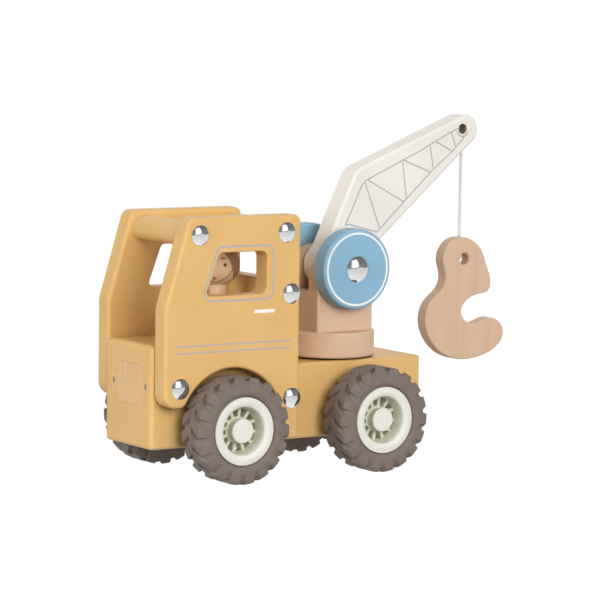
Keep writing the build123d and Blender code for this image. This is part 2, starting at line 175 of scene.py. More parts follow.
def beech(name, base, along, depth=1.0):
    """Oiled beech: straight, quiet grain, short dark flecks and fine pores."""
    shader = Shader(name, Roughness=0.5, Specular_IOR_Level=0.4)
    where = shader.place(grain_axes(along))
    bands = shader.noise(where, 330.0, 5.0, 0.6, 0.4)
    broad = shader.noise(shader.place(grain_axes(along)), 70.0, 3.0, 0.5, 0.6)
    red, green, blue = base
    light = linear(red + 3, green + 3, blue + 3)
    middle = linear(red, green, blue)
    dark = linear(red - 5 * depth, green - 7 * depth, blue - 8 * depth)
    colour = shader.ramp(bands, (0.28, dark), (0.5, middle), (0.72, light))
    tone = shader.ramp(
        broad, (0.3, linear(251, 249, 246)), (0.7, linear(255, 255, 255))
    )
    colour = shader.mix(1.0, colour, tone, "MULTIPLY")
    flecks = shader.noise(
        shader.place(tuple(0.12 if axis == along else 1.0 for axis in "XYZ"), (0.1, 0.1, 0.1)),
        1900.0,
        2.0,
    )
    spots = shader.levels(flecks, 0.60, 0.72)
    colour = shader.mix(
        shader.maths("MULTIPLY", spots, 0.24 * depth),
        colour,
        linear(red - 46, green - 52, blue - 54),
    )
    # painted shade: the wood darkens in gaps and hollows, such as round the post and inside the cab
    shade = linear(red * 0.50, green * 0.42, blue * 0.34)
    colour = shader.darkened(colour, shade, 0.012, 0.10, 0.55, 0.70)
    shader.set("Base Color", colour)
    shader.set("Roughness", shader.levels(bands, 0.3, 0.7, 0.46, 0.60))
    pores = shader.noise(where, 2600.0, 3.0)
    height = shader.mix(0.4, bands, pores)
    shader.set("Normal", shader.bump(height, 0.22, 0.00012))
    return shader.material


BARE_WOOD = linear(206, 180, 164)
PAINT_EDGE = 0.00008  # how soft the paint's edge is at a bore, in metres


def paint(name, base, along, roughness=0.42, bores=()):
    """Satin paint over beech: the grain shows faintly, gaps are darkened with painted shade, and
    bores are bare wood.

    A bore is its X, Z and radius in metres, and runs along Y.
    """
    shader = Shader(name, Roughness=roughness, Specular_IOR_Level=0.45)
    red, green, blue = base
    cloud = shader.noise(shader.place(), 26.0, 3.0, 0.5)
    colour = shader.ramp(
        cloud,
        (0.32, linear(red - 4, green - 5, blue - 5)),
        (0.68, linear(red + 3, green + 3, blue + 3)),
    )
    where = shader.place(grain_axes(along))
    grain = shader.noise(where, 620.0, 5.0, 0.6, 0.3)
    lines = shader.levels(grain, 0.36, 0.62, 0.988, 1.0)
    tint = shader.node("ShaderNodeCombineColor", {"Red": lines, "Green": lines, "Blue": lines})
    colour = shader.mix(1.0, colour, tint.outputs["Color"], "MULTIPLY")
    for x, z, radius in bores:
        here = shader.node("ShaderNodeSeparateXYZ", {"Vector": shader.place()})
        off_x = shader.maths("SUBTRACT", here.outputs["X"], x)
        off_z = shader.maths("SUBTRACT", here.outputs["Z"], z)
        away = shader.maths(
            "SQRT",
            shader.maths(
                "ADD",
                shader.maths("MULTIPLY", off_x, off_x),
                shader.maths("MULTIPLY", off_z, off_z),
            ),
        )
        bare = shader.levels(away, radius, radius + PAINT_EDGE, 1.0, 0.0)
        colour = shader.mix(bare, colour, BARE_WOOD)
    # painted shade: the paint darkens in gaps and hollows, such as the wheel arches and the cab's
    # inside
    shade = linear(red * 0.52, green * 0.46, blue * 0.40)
    colour = shader.darkened(colour, shade, 0.030, 0.12, 0.55, 0.72)
    shader.set("Base Color", colour)
    peel = shader.noise(shader.place(), 900.0, 2.0, 0.5)
    shader.set(
        "Roughness", shader.levels(peel, 0.3, 0.7, roughness - 0.05, roughness + 0.07)
    )
    first = shader.bump(grain, 0.09, 0.00010)
    shader.set("Normal", shader.bump(peel, 0.10, 0.00008, first))
    return shader.material


def rubber(name, base):
    """Moulded grey-brown rubber: matt, faintly mottled, with a fine cast texture."""
    shader = Shader(name, Roughness=0.62, Specular_IOR_Level=0.35)
    red, green, blue = base
    cloud = shader.noise(shader.place(), 95.0, 4.0, 0.6)
    colour = shader.ramp(
        cloud,
        (0.3, linear(red - 7, green - 7, blue - 7)),
        (0.7, linear(red + 6, green + 6, blue + 5)),
    )
    dust = shader.noise(shader.place(), 1400.0, 3.0, 0.6)
    pale = shader.levels(dust, 0.56, 0.72, 0.0, 0.16)
    colour = shader.mix(pale, colour, linear(red + 34, green + 32, blue + 30))
    shader.set("Base Color", colour)
    shader.set("Roughness", shader.levels(cloud, 0.3, 0.7, 0.56, 0.70))
    cast = shader.noise(shader.place(), 3200.0, 2.0, 0.5)
    shader.set("Normal", shader.bump(cast, 0.25, 0.00008))
    return shader.material


def plastic(name, base, roughness=0.42):
    """Moulded off-white plastic, with a soft sheen and faint flow marks."""
    shader = Shader(name, Roughness=roughness, Specular_IOR_Level=0.5)
    shader.surface.inputs["Subsurface Weight"].default_value = 0.06
    shader.surface.inputs["Subsurface Radius"].default_value = (0.9, 0.8, 0.6)
    shader.surface.inputs["Subsurface Scale"].default_value = 0.0015
    red, green, blue = base
    flow = shader.noise(shader.place(), 120.0, 4.0, 0.5, 1.2)
    colour = shader.ramp(
        flow,
        (0.3, linear(red - 4, green - 4, blue - 5)),
        (0.7, linear(red + 2, green + 2, blue + 2)),
    )
    # painted shade: the rim darkens and turns yellow-green in its recess and round its spokes
    shade = linear(red - 34, green - 28, blue - 52)
    colour = shader.darkened(colour, shade, 0.010, 0.35, 0.80, 0.75)
    shader.set("Base Color", colour)
    fine = shader.noise(shader.place(), 1800.0, 2.0, 0.5)
    shader.set(
        "Roughness", shader.levels(fine, 0.3, 0.7, roughness - 0.05, roughness + 0.08)
    )
    shader.set("Normal", shader.bump(fine, 0.10, 0.00006))
    return shader.material


def polished(name, base, roughness, scratch=0.04):
    """Plated or plain metal, with faint handling marks in its gloss."""
    shader = Shader(name, Metallic=1.0, Roughness=roughness)
    red, green, blue = base
    haze = shader.noise(shader.place(), 240.0, 4.0, 0.6)
    colour = shader.ramp(
        haze,
        (0.35, linear(red - 5, green - 5, blue - 5)),
        (0.65, linear(red, green, blue)),
    )
    shader.set("Base Color", colour)
    marks = shader.noise(shader.place((1.0, 0.2, 1.0), (0.3, 0.5, 0.2)), 2600.0, 3.0, 0.6)
    shader.set(
        "Roughness", shader.levels(marks, 0.45, 0.75, roughness, roughness + scratch)
    )
    shader.set("Normal", shader.bump(marks, 0.03, 0.00002))
    return shader.material


def cotton(name, base):
    """Twisted white cotton: soft, with fine fibres along the strands."""
    shader = Shader(name, Roughness=0.85, Specular_IOR_Level=0.2, Sheen_Weight=0.35)
    red, green, blue = base
    fibre = shader.noise(shader.place((1.0, 1.0, 0.25)), 5200.0, 4.0, 0.7, 0.5)
    colour = shader.ramp(
        fibre,
        (0.35, linear(red - 26, green - 27, blue - 30)),
        (0.62, linear(red, green, blue)),
    )
    # painted shade: the string darkens where it sits in the bores and holes
    shade = linear(red * 0.40, green * 0.36, blue * 0.32)
    colour = shader.darkened(colour, shade, 0.006, 0.10, 0.60, 0.80)
    shader.set("Base Color", colour)
    shader.set("Normal", shader.bump(fibre, 0.5, 0.00012))
    return shader.material


def ink(name, base):
    """Printed ink, slightly uneven where it sits on the paint."""
    shader = Shader(name, Roughness=0.5, Specular_IOR_Level=0.4)
    red, green, blue = base
    cover = shader.noise(shader.place(), 900.0, 3.0, 0.6)
    colour = shader.ramp(
        cover,
        (0.35, linear(red - 7, green - 7, blue - 7)),
        (0.65, linear(red + 4, green + 4, blue + 4)),
    )
    shader.set("Base Color", colour)
    shader.set("Roughness", shader.levels(cover, 0.3, 0.7, 0.44, 0.58))
    shader.set("Normal", shader.bump(cover, 0.12, 0.00005))
    return shader.material


OCHRE = (230, 187, 119)
TIP_HOLE = (-93.25, 192.4)  # the hole at the boom's tip: X and Z in mm
TIP_HOLE_BORE = (TIP_HOLE[0] * MM, TIP_HOLE[1] * MM, 0.00304)
ochre_upright = paint("ochre_paint_upright", OCHRE, "Z")
ochre_along = paint("ochre_paint_along", OCHRE, "X")
ochre_across = paint("ochre_paint_across", OCHRE, "Y")
cream = paint("cream_paint", (242, 238, 229), "X", 0.46, [TIP_HOLE_BORE])
blue = paint("blue_paint", (141, 184, 211), "Z", 0.44)
beech_upright = beech("beech_upright", (222, 190, 162), "Z")
beech_along = beech("beech_along", (224, 191, 162), "X")
doll_wood = beech("doll_beech", (214, 184, 152), "Z", 0.6)
tyre_rubber = rubber("tyre_rubber", (127, 114, 106))
rim_plastic = plastic("rim_plastic", (236, 233, 224))
chrome = polished("chrome", (232, 234, 236), 0.07)
steel = polished("steel", (172, 172, 170), 0.32, 0.12)
string_cotton = cotton("string_cotton", (250, 249, 245))
grey_ink = ink("grey_ink", (190, 180, 176))
cool_grey_ink = ink("cool_grey_ink", (184, 183, 189))
white_ink = ink("white_ink", (252, 250, 246))
pink_ink = ink("pink_ink", (231, 190, 137))
pale_pink_ink = ink("pale_pink_ink", (236, 199, 154))
tan_ink = ink("tan_ink", (216, 174, 118))
brown_ink = ink("brown_ink", (186, 138, 94))
red_ink = ink("red_ink", (176, 118, 100))
hair_paint = ink("hair_paint", (150, 112, 90))
line_paint = ink("line_paint", (96, 66, 50))

FINISHES = {
    "chassis": ochre_along,
    "front_block": ochre_upright,
    "left_panel": ochre_upright,
    "right_panel": ochre_upright,
    "front_roof_bar": ochre_across,
    "rear_roof_bar": ochre_across,
    "cab_rear_wall": ochre_upright,
    "boom": cream,
    "left_tilt_wheel": blue,
    "right_tilt_wheel": blue,
    "turntable": beech_along,
    "post": beech_upright,
    "hook": beech_upright,
    "block_dowels": beech_along,
    "driver_body": doll_wood,
    "driver_head": doll_wood,
    "panel_screws": chrome,
    "pivot_domes": chrome,
    "slew_bolt": steel,
    "turntable_washer": steel,
    "pivot_axle": steel,
    "string": string_cotton,
    "boom_knot": string_cotton,
    "hook_knot": string_cotton,
}
for end in ("front", "rear"):
    FINISHES[f"{end}_axle"] = steel
    FINISHES[f"{end}_axle_washers"] = steel
    FINISHES[f"{end}_hub_caps"] = rim_plastic
    for hand in ("left", "right"):
        FINISHES[f"{end}_{hand}_tyre"] = tyre_rubber
        FINISHES[f"{end}_{hand}_rim"] = rim_plastic

for node, finish in FINISHES.items():
    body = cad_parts[node]
    body.data.materials.clear()
    body.data.materials.append(finish)

# ---------------------------------------------------------------- mesh helpers


def mesh_object(name, vertices, faces, finish):
    """A new object from vertices and faces, with one material."""
    mesh = bpy.data.meshes.new(name)
    mesh.from_pydata(vertices, [], faces)
    mesh.update()
    piece = bpy.data.objects.new(name, mesh)
    bpy.context.scene.collection.objects.link(piece)
    mesh.materials.append(finish)
    return piece


def smooth(piece, sharp_degrees):
    """Smooth shading, with edges kept crisp where faces meet at more than this."""
    for face in piece.data.polygons:
        face.use_smooth = True
    piece.data.set_sharp_from_angle(angle=radians(sharp_degrees))


def swept(rings, closed=True):
    """Faces between rings of vertices; each ring is closed, and so is the row of rings if asked."""
    count = len(rings[0])
    vertices = [point for ring in rings for point in ring]
    faces = []
    for row in range(len(rings) if closed else len(rings) - 1):
        after = (row + 1) % len(rings)
        for column in range(count):
            beside = (column + 1) % count
            faces.append(
                (
                    row * count + column,
                    row * count + beside,
                    after * count + beside,
                    after * count + column,
                )
            )
    if not closed:
        faces.append(tuple(reversed(range(count))))
        last = (len(rings) - 1) * count
        faces.append(tuple(range(last, last + count)))
    return vertices, faces


def outward_faces(piece):
    """Turns every face of a closed piece outwards."""
    work = bmesh.new()
    work.from_mesh(piece.data)
    bmesh.ops.recalc_face_normals(work, faces=work.faces)
    work.to_mesh(piece.data)
    work.free()


def joined(name, solids, finish):
    """One mesh object out of several closed solids, each a (vertices, faces) pair."""
    vertices, faces = [], []
    for more_vertices, more_faces in solids:
        start = len(vertices)
        vertices += more_vertices
        faces += [tuple(index + start for index in face) for face in more_faces]
    piece = mesh_object(name, vertices, faces, finish)
    outward_faces(piece)
    return piece


# ---------------------------------------------------------------- string and knots
STRING_X = centre_of("string").x
STRING_PITCH = 5.0  # one whole turn of the string's strands, in mm
KNOT_PITCH = 3.0
KNOT_REACH = 1.15  # how far a knot's loops go from its middle, in mm
KNOT_CORD = 0.72  # the string's thickness in a tight knot, as a share
KNOT_INSET = 0.0018  # a knot's middle from the edges of its CAD box, in metres
# the route of the hanging string, from the boom's mouth to the hook
STRING_ROUTE = [(-0.0981, 0.0, 0.1833), (-0.0981, 0.0, 0.1555), (-0.0981, 0.0, 0.1276)]


def spline_points(route, resolution):
    """The points of the smooth line that a route's NURBS spline makes."""
    curve = bpy.data.curves.new("route", "CURVE")
    curve.dimensions = "3D"
    spline = curve.splines.new("NURBS")
    spline.points.add(len(route) - 1)
    for point, place in zip(spline.points, route):
        point.co = (*place, 1.0)
    spline.order_u = 3
    spline.use_endpoint_u = True
    spline.resolution_u = resolution
    holder = bpy.data.objects.new("route", curve)
    bpy.context.scene.collection.objects.link(holder)
    bpy.context.view_layer.update()
    line = bpy.data.meshes.new_from_object(holder)
    points = [vertex.co.copy() for vertex in line.vertices]
    bpy.data.objects.remove(holder)
    bpy.data.curves.remove(curve)
    bpy.data.meshes.remove(line)
    return points


STRANDS = 3
STRAND_CENTRE = 0.44  # in mm from the string's middle
STRAND_RADIUS = 0.53  # in mm
STRAND_SHOWING = 0.62  # the share of a strand's own outline that is not inside its neighbours
STRAND_STEPS = 8
STRAND_EDGE = 60  # faces that meet at more than this, in degrees, keep a crisp edge


def strands(turn):
    """The outline of the strands laid together, turned about the string's middle; in mm."""
    outline = []
    for strand in range(STRANDS):
        middle = turn + 2 * pi * strand / STRANDS
        for k in range(STRAND_STEPS):
            angle = middle + ((k + 0.5) / STRAND_STEPS - 0.5) * 2 * pi * STRAND_SHOWING
            outline.append(
                (
                    STRAND_CENTRE * cos(middle) + STRAND_RADIUS * cos(angle),
                    STRAND_CENTRE * sin(middle) + STRAND_RADIUS * sin(angle),
                )
            )
    return outline


def laid_solid(points, pitch, size=1.0):
    """A twisted cord along points in metres; pitch in mm, and size as a share of the string's."""
    travelled = 0.0
    aside = Vector((0.1, 1, 0.05))
    rings = []
    for index, here in enumerate(points):
        ahead = points[min(index + 1, len(points) - 1)]
        behind = points[max(index - 1, 0)]
        along = (ahead - behind).normalized()
        if index:
            travelled += (here - points[index - 1]).length
        aside = (aside - along * aside.dot(along)).normalized()
        across = along.cross(aside)
        outline = strands(2 * pi * travelled / (pitch * MM))
        rings.append([tuple(here + (aside * a + across * b) * (MM * size)) for a, b in outline])
    return swept(rings, False)


string_line = spline_points(STRING_ROUTE, 90)
cord = joined("twisted_string", [laid_solid(string_line, STRING_PITCH)], string_cotton)
smooth(cord, STRAND_EDGE)
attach(cord, "string")
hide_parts("string")
[tuple(point) for point in string_line]


KNOT_STEPS = 72
KNOT_WHOLE = 0.985  # the share of the trefoil that is made, so that its ends don't meet
KNOT_DEPTH = 0.55  # how thick the knot is, as a share of its reach


def overhand(middle):
    """The line of a small overhand knot: a trefoil of cord round a point, in metres."""
    points = []
    for k in range(KNOT_STEPS + 1):
        t = 2 * pi * k / KNOT_STEPS * KNOT_WHOLE
        loop = Vector(
            (
                (sin(t) + 2 * sin(2 * t)) / 3,
                -sin(3 * t) * KNOT_DEPTH,
                (cos(t) - 2 * cos(2 * t)) / 3,
            )
        )
        points.append(middle + loop * (KNOT_REACH * MM))
    return points


def tied_knot(name, lead, middle):
    """A knot and the length of string that leads to it inside the wood."""
    solids = [
        laid_solid(lead, STRING_PITCH),
        laid_solid(overhand(middle), KNOT_PITCH, KNOT_CORD),
    ]
    piece = joined(name, solids, string_cotton)
    smooth(piece, STRAND_EDGE)
    return piece


# The hook's knot sits in its cross hole, under the bore that the string comes down.
low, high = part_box("hook_knot")
hook_knot_middle = Vector(((low.x + high.x) / 2, (low.y + high.y) / 2, low.z + KNOT_INSET))
bore_end = low.z + 0.0030
hook_lead = spline_points(
    [(STRING_X, 0.0, high.z), (STRING_X, 0.0, (high.z + bore_end) / 2), (STRING_X, 0.0, bore_end)],
    30,
)
hook_knot = tied_knot("hook_tied_knot", hook_lead, hook_knot_middle)
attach(hook_knot, "lower_knot")
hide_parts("hook_knot")

# The boom's knot sits in the tip hole, at the top of the bore.
low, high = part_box("boom_knot")
boom_knot_middle = Vector((high.x - KNOT_INSET, 0.0, high.z - KNOT_INSET))
bore_start = Vector((STRING_X, 0.0, STRING_ROUTE[0][2] + 0.0012))
boom_lead = spline_points(
    [bore_start.lerp(boom_knot_middle, share) for share in (0.0, 0.425, 0.85)], 30
)
boom_knot = tied_knot("boom_tied_knot", boom_lead, boom_knot_middle)
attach(boom_knot, "boom")
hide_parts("boom_knot")

# ---------------------------------------------------------------- tyres
LUGS = 18  # on each half of a tread; the halves are half a pitch apart
TYRE_RADIUS = 30.0
TREAD_FROM = 27.0  # the radius from which the lugs lean
SHOULDER = 9.0  # where the lean starts, in mm from the tyre's middle
CHEVRON = radians(34.0)  # how much the lugs lean
FIRST_GROOVE = radians(-2.5)
# from the bead to the tread's middle: radius, distance from the tyre's middle, groove depth; mm
TYRE_SIDE = [
    (17.6, 6.95, 0.0),
    (19.15, 7.05, 0.0),
    (19.3, 8.4, 0.0),
    (19.75, 9.35, 0.0),
    (20.6, 10.1, 0.0),
    (21.8, 10.5, 0.0),
    (23.0, 10.6, 0.0),
    (23.8, 10.58, 0.15),
    (24.4, 10.55, 0.45),
    (25.3, 10.5, 0.85),
    (26.4, 10.38, 1.15),
    (27.5, 10.2, 1.45),
    (28.4, 9.95, 1.7),
    (29.1, 9.6, 1.9),
    (29.6, 9.15, 2.0),
    (29.9, 8.55, 2.0),
    (30.0, 7.8, 2.0),
    (30.0, 6.2, 2.0),
    (30.0, 4.6, 2.0),
    (30.0, 3.0, 2.0),
    (30.0, 1.5, 2.0),
    (30.0, 1.2, 1.7),
    (30.0, 0.8, 0.0),
]
# across one lug pitch: where the columns stand, and the share of the groove's depth there
GROOVE_STEPS = [(0.0, 1.0), (0.105, 1.0), (0.13, 0.95), (0.15, 0.84), (0.195, 0.15), (0.22, 0.0)]


def groove_share(fraction):
    """The share of the groove's depth at a fraction of the pitch from its middle."""
    away = abs(fraction - round(fraction))
    for (near, near_share), (far, far_share) in zip(GROOVE_STEPS, GROOVE_STEPS[1:]):
        if away <= far:
            return near_share + (far_share - near_share) * (away - near) / (far - near)
    return 0.0


def tyre_mesh(name):
    """A moulded tyre about its own middle, with its axle along Y."""
    section = TYRE_SIDE + [(radius, -y, depth) for radius, y, depth in reversed(TYRE_SIDE)]
    columns = []
    for base in (0.0, 0.5):
        for fraction, _ in GROOVE_STEPS:
            columns += [base + fraction, base - fraction] if fraction else [base]
    columns = sorted(fraction % 1.0 for fraction in columns)
    stations = [pitch + fraction for pitch in range(LUGS) for fraction in columns]
    normals = []
    count = len(section)
    for index in range(count):
        before = section[max(index - 1, 0)]
        after = section[min(index + 1, count - 1)]
        along = Vector((after[0] - before[0], after[1] - before[1])).normalized()
        normals.append(Vector((-along.y, along.x)))
    rings = []
    for station in stations:
        ring = []
        for (radius, y, depth), normal in zip(section, normals):
            cut = depth * groove_share(station if y > 0 else station - 0.5)
            inward = normal if normal.x < 0 or y * normal.y < 0 else -normal
            out = (radius + inward.x * cut) * MM
            turn = FIRST_GROOVE + 2 * pi * station / LUGS
            if radius > TREAD_FROM:
                turn -= max(0.0, SHOULDER - abs(y)) * tan(CHEVRON) / TYRE_RADIUS
            ring.append((out * sin(turn), (y + inward.y * cut) * MM, out * cos(turn)))
        rings.append(ring)
    vertices, faces = swept(rings)
    piece = mesh_object(name, vertices, faces, tyre_rubber)
    outward_faces(piece)
    smooth(piece, 38)
    return piece


for end in ("front", "rear"):
    for hand in ("left", "right"):
        node = f"{end}_{hand}_tyre"
        tyre = tyre_mesh(f"{end}_{hand}_moulded_tyre")
        tyre.location = centre_of(node)
        if hand == "right":
            tyre.rotation_euler = (0, 0, pi)
        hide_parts(node)
        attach(tyre, f"{end}_wheels")

# ---------------------------------------------------------------- printed lines


SUNK = -0.03  # how far a print's solid goes into the wood, in mm


def line_solid(points, width, lift, place, closed=False):
    """A printed line's solid: flat points joined at this width, and raised by lift; in mm."""
    corners = [Vector(point) for point in points]
    count = len(corners)
    rings = []
    for index, here in enumerate(corners):
        before = corners[index - 1] if closed or index else None
        after = corners[(index + 1) % count] if closed or index < count - 1 else None
        first = (here - before).normalized() if before is not None else (after - here).normalized()
        second = (after - here).normalized() if after is not None else first
        bisector = Vector((-first.y - second.y, first.x + second.x)).normalized()
        reach = width / 2 / max(0.5, bisector.dot(Vector((-first.y, first.x))))
        one, other = here + bisector * reach, here - bisector * reach
        rings.append([place(one, SUNK), place(one, lift), place(other, lift), place(other, SUNK)])
    return swept(rings, closed)


def rounded(points, radius, steps=6):
    """A closed outline with its corners rounded to this radius."""
    corners = [Vector(point) for point in points]
    result = []
    for index, here in enumerate(corners):
        to_before = (corners[index - 1] - here).normalized()
        to_after = (corners[(index + 1) % len(corners)] - here).normalized()
        half_angle = to_before.angle(to_after) / 2
        start = here + to_before * (radius / sin(half_angle) * cos(half_angle))
        finish = here + to_after * (radius / sin(half_angle) * cos(half_angle))
        centre = here + (to_before + to_after).normalized() * (radius / sin(half_angle))
        for step in range(steps + 1):
            part = start.lerp(finish, step / steps) - centre
            result.append(centre + part.normalized() * radius)
    return result


def side_face(y):
    """Places flat (X, Z) points in mm on a face at this y, lifted away from the truck."""
    side = 1 if y > 0 else -1
    return lambda point, lift: (point[0] * MM, (y + side * lift) * MM, point[1] * MM)


def front_face(x):
    """Places flat (Y, Z) points in mm on a face at this x, lifted forwards."""
    return lambda point, lift: ((x + lift) * MM, point[0] * MM, point[1] * MM)


def circle(centre, radius, steps=40):
    """The points of a circle, without the first one again at the end."""
    return [
        (centre[0] + radius * cos(2 * pi * k / steps), centre[1] + radius * sin(2 * pi * k / steps))
        for k in range(steps)
    ]


def arc(centre, radius, start, stop, steps=12):
    """The points of an arc between two angles in degrees."""
    angles = [radians(start + (stop - start) * k / steps) for k in range(steps + 1)]
    return [(centre[0] + radius * cos(a), centre[1] + radius * sin(a)) for a in angles]


PRINT_LIFT = 0.05  # how far a print stands out of the paint, in mm
# on each cab panel: a line round the window, two stripes across the door, and a door handle
PANEL_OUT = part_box("left_panel")[1].y / MM
WINDOW_LINE = rounded([(58.3, 101.2), (105.6, 101.2), (94.9, 131.2), (58.3, 131.2)], 5.0)
WINDOW_LINE_WIDTH = 1.25
STRIPES = [[(46.2, height), (121.0, height)] for height in (77.1, 73.2)]
STRIPE_WIDTH = 0.9
HANDLE = [(57.3, 94.3), (70.9, 94.3)]
HANDLE_WIDTH = 1.9
for side, hand in ((1, "left"), (-1, "right")):
    place = side_face(side * PANEL_OUT)
    print_lines = joined(
        f"{hand}_panel_grey_print",
        [line_solid(WINDOW_LINE, WINDOW_LINE_WIDTH, PRINT_LIFT, place, True)]
        + [line_solid(stripe, STRIPE_WIDTH, PRINT_LIFT, place) for stripe in STRIPES],
        grey_ink,
    )
    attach(print_lines, "truck")
    handle = joined(
        f"{hand}_panel_handle_print",
        [line_solid(HANDLE, HANDLE_WIDTH, PRINT_LIFT, place)],
        white_ink,
    )
    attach(handle, "truck")

# the boom's printed truss, on both faces
UPPER = [
    (-10.0, 137.5), (-13.4, 144.3), (-16.8, 151.2), (-20.8, 159.8), (-22.9, 162.4), (-25.0, 163.8),
    (-37.6, 169.3), (-62.5, 179.9), (-74.0, 185.6), (-84.8, 190.7), (-90.7, 193.0),
]
LOWER = [
    (-34.5, 135.0), (-48.8, 148.0), (-72.2, 168.9), (-85.9, 179.2), (-91.6, 184.7), (-94.4, 187.6),
    (-97.2, 190.5),
]
BASE = [(-10.0, 137.5), (-12.1, 138.3), (-32.4, 133.3), (-34.5, 135.0)]
BRACES = [
    [(-23.6, 162.0), (-34.3, 135.5)],
    [(-25.8, 163.4), (-51.7, 150.2)],
    [(-50.1, 173.6), (-53.2, 151.3)],
    [(-50.4, 174.8), (-70.8, 167.0)],
    [(-69.7, 182.7), (-72.2, 169.8)],
    [(-74.0, 185.0), (-85.5, 179.5)],
    [(-84.8, 190.7), (-88.4, 181.8)],
]
TRUSS = [UPPER, LOWER, BASE] + BRACES + [arc(TIP_HOLE, 4.4, -155, -15)]
TRUSS_WIDTH = 0.8
TRUSS_LIFT = 0.03
TRUSS_STEP = 0.002  # each line lies a little over the one before, so that none flicker
BOOM_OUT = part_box("boom")[1].y / MM
for side, hand in ((1, "left"), (-1, "right")):
    place = side_face(side * BOOM_OUT)
    truss = joined(
        f"boom_{hand}_truss_print",
        [
            line_solid(line, TRUSS_WIDTH, TRUSS_LIFT + TRUSS_STEP * order, place)
            for order, line in enumerate(TRUSS)
        ],
        cool_grey_ink,
    )
    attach(truss, "boom")

# white rings on the blue wheels
WHEEL_RING_RADIUS = 20.5
WHEEL_RING_WIDTH = 1.15
for side, hand in ((1, "left"), (-1, "right")):
    low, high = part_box(f"{hand}_tilt_wheel")
    middle = centre_of(f"{hand}_tilt_wheel")
    face_y = (high.y if side > 0 else low.y) / MM
    ring_line = circle((middle.x / MM, middle.z / MM), WHEEL_RING_RADIUS, 96)
    ring = joined(
        f"{hand}_tilt_wheel_ring_print",
        [line_solid(ring_line, WHEEL_RING_WIDTH, PRINT_LIFT, side_face(face_y), True)],
        white_ink,
    )
    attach(ring, "boom")

# a grille and two lamps on the front block, a little to the left of its middle
place = front_face(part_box("front_block")[1].x / MM)
PRINT_MIDDLE = 1.6


def printed(name, solids, ink_used):
    """A print on the front block."""
    piece = joined(name, solids, ink_used)
    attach(piece, "truck")


def across_front(y_low, y_high, z, width, lift):
    """A level line across the front block, between two distances from the print's middle."""
    ends = [(PRINT_MIDDLE + y_low, z), (PRINT_MIDDLE + y_high, z)]
    return line_solid(ends, width, lift, place)


def up_front(y, z_low, z_high, width, lift):
    """An upright line on the front block, at a distance from the print's middle."""
    return line_solid([(PRINT_MIDDLE + y, z_low), (PRINT_MIDDLE + y, z_high)], width, lift, place)


printed(
    "grille_outline_print",
    [across_front(-11.6, 10.4, 65.4, 0.5, 0.09), across_front(-7.0, 10.4, 42.4, 0.5, 0.09)],
    tan_ink,
)
printed("grille_panel_print", [across_front(-11.4, 11.4, 59.2, 11.8, 0.05)], pink_ink)
printed(
    "grille_bars_print",
    [up_front(-11.6 + 2.9 * k, 41.4, 52.8, 1.2, 0.06) for k in range(9)]
    + [up_front(-10.5, 53.4, 64.9, 1.6, 0.07), up_front(-5.2, 53.4, 64.9, 1.1, 0.07)]
    + [up_front(11.9, 52.9, 65.6, 0.9, 0.08)],
    pale_pink_ink,
)


def oval_solid(centre, half_width, half_height, lift, place):
    """A printed oval's solid, in mm."""
    edge = [
        (centre[0] + half_width * across, centre[1] + half_height * above)
        for across, above in circle((0.0, 0.0), 1.0, 32)
    ]
    return swept([[place(point, level) for point in edge] for level in (SUNK, lift)], False)


LAMP_OUT = 17.2
LAMP_HEIGHT = 53.7
lamps = [(PRINT_MIDDLE - LAMP_OUT, LAMP_HEIGHT), (PRINT_MIDDLE + LAMP_OUT, LAMP_HEIGHT)]
printed(
    "lamp_rings_print",
    [line_solid(circle(lamp, 2.3), 1.5, 0.06, place, True) for lamp in lamps],
    pale_pink_ink,
)
printed("lamps_print", [oval_solid(lamp, 1.4, 2.1, 0.08, place) for lamp in lamps], brown_ink)

# ---------------------------------------------------------------- the driver's painted head
HEAD_RADIUS = 12.5
HEAD = centre_of("driver_head")
HEAD.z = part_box("driver_head")[1].z - HEAD_RADIUS * MM
FACE_TURN = 47.5  # degrees from straight ahead, towards the truck's left
PAINT_EDGE_ANGLE = 50  # faces that meet at more than this keep a crisp edge


def on_head(across, above, lift):
    """A point on the driver's head: degrees to the face's left and above its middle; lift in mm."""
    azimuth = radians(FACE_TURN + across)
    height = radians(above)
    reach = (HEAD_RADIUS + lift) * MM
    return (
        HEAD.x + reach * cos(height) * cos(azimuth),
        HEAD.y + reach * cos(height) * sin(azimuth),
        HEAD.z + reach * sin(height),
    )


# degrees round from the face's middle, and the hair's edge there in degrees above the ears
HAIRLINE = [(0, 50), (14, 47), (28, 37), (44, 13), (52, -12), (65, -33), (90, -48), (180, -55)]


def hairline(across):
    """Where the hair ends, in degrees above the head's middle."""
    away = abs(across)
    for (near, near_height), (far, far_height) in zip(HAIRLINE, HAIRLINE[1:]):
        if away <= far:
            share = (away - near) / (far - near)
            eased = share * share * (3 - 2 * share) * 0.35 + share * 0.65  # rounds its corners
            return near_height + (far_height - near_height) * eased
    return HAIRLINE[-1][1]


# the hair is a thin closed shell: its rings go down the outside, and back up under it
HAIR_COLUMNS = 120
HAIR_ROWS = 26
HAIR_TOP = 89.0
HAIR_LIFT, HAIR_EDGE_LIFT, HAIR_SUNK = 0.14, 0.02, -0.15
rings = []
for row in range(2 * HAIR_ROWS):
    outer = row <= HAIR_ROWS
    share = row / HAIR_ROWS if outer else (2 * HAIR_ROWS - row) / HAIR_ROWS
    ring = []
    lift = (HAIR_LIFT if share < 1 else HAIR_EDGE_LIFT) if outer else HAIR_SUNK
    for column in range(HAIR_COLUMNS):
        across = -180 + 360 * column / HAIR_COLUMNS
        above = HAIR_TOP - (HAIR_TOP - hairline(across)) * share
        ring.append(on_head(across, above, lift))
    rings.append(ring)
vertices, faces = swept(rings, False)
hair = mesh_object("driver_hair_paint", vertices, faces, hair_paint)
outward_faces(hair)
smooth(hair, PAINT_EDGE_ANGLE)
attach(hair, "truck")


STROKE_LIFT = 0.10


